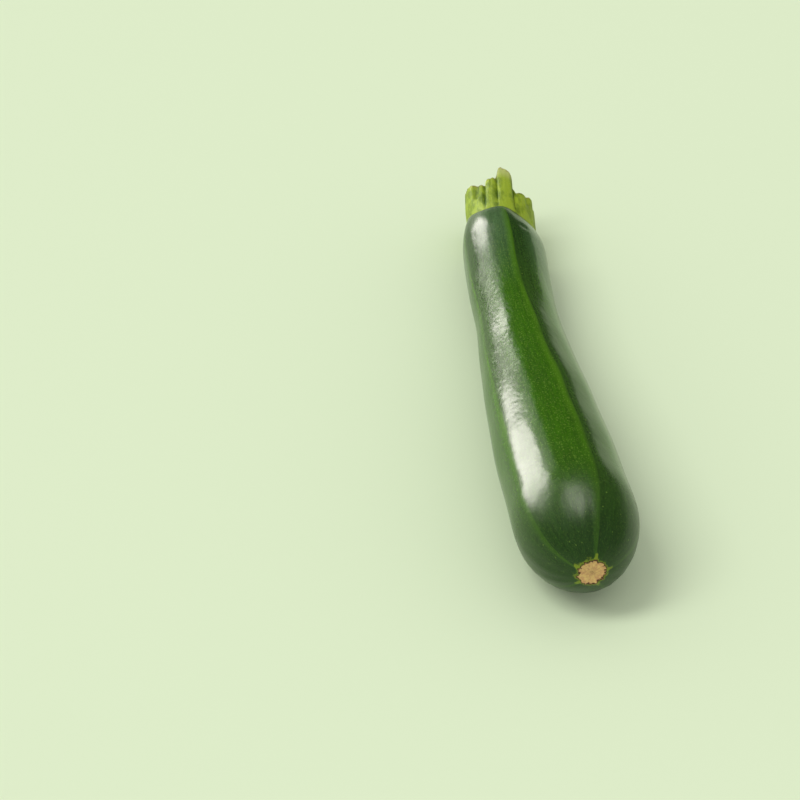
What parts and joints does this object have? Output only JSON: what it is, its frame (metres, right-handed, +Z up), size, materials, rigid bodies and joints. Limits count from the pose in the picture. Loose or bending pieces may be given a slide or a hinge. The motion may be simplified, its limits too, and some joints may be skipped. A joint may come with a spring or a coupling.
{
  "type": "courgette",
  "caption": "Whole dark-green courgette lying on its side, with a ribbed cut stem stub at one end and a corky blossom scar at the other.",
  "frame": {"origin": "middle of the bounding box's bottom, on the surface that the courgette lies on", "axes": "+X along the courgette from the blossom end to the stem, +Z up"},
  "size_m": [0.2096, 0.0392, 0.039],
  "materials": {
    "skin": "waxy dark green courgette skin with pale flecks and a tan corky scar",
    "stalk": "lime green fibrous stalk, satin on its ribs and matt on its cut"
  },
  "bodies": {
    "root": {"fruit": "skin", "stem": "stalk"}
  },
  "joints": []
}
